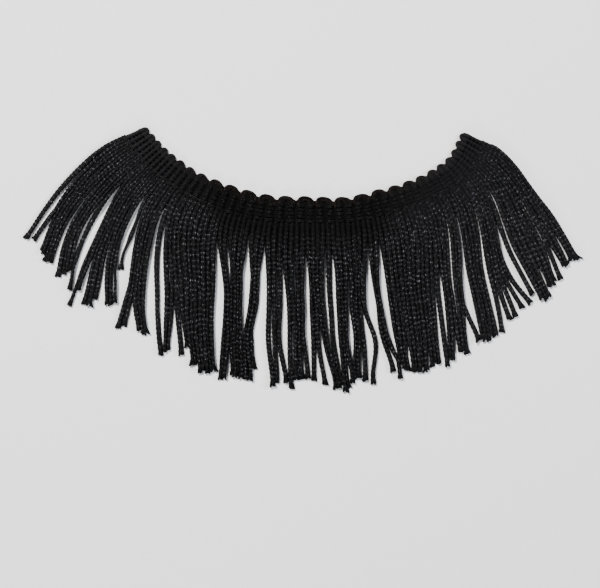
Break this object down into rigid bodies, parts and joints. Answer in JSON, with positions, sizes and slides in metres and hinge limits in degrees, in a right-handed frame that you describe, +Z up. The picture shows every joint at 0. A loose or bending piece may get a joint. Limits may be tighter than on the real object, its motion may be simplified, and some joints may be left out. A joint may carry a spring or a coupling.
{
  "type": "fringe trim",
  "caption": "Flat-lying crescent of cord fringe trim: a scalloped, ribbed heading band with knitted cords fanning out from its lower edge.",
  "frame": {"origin": "middle of the trim's footprint, on the surface it lies on", "axes": "+X along the band from its left end to its right end, +Y towards the band's scalloped inner edge, +Z up off the surface"},
  "size_m": [0.2214, 0.1038, 0.0038],
  "materials": {
    "heading_yarn": "matte near-black yarn, looped and chain stitched",
    "cord_yarn": "near-black knitted cord with a soft sheen"
  },
  "bodies": {
    "root": {"heading": "heading_yarn", "fringe": "cord_yarn"}
  },
  "joints": []
}
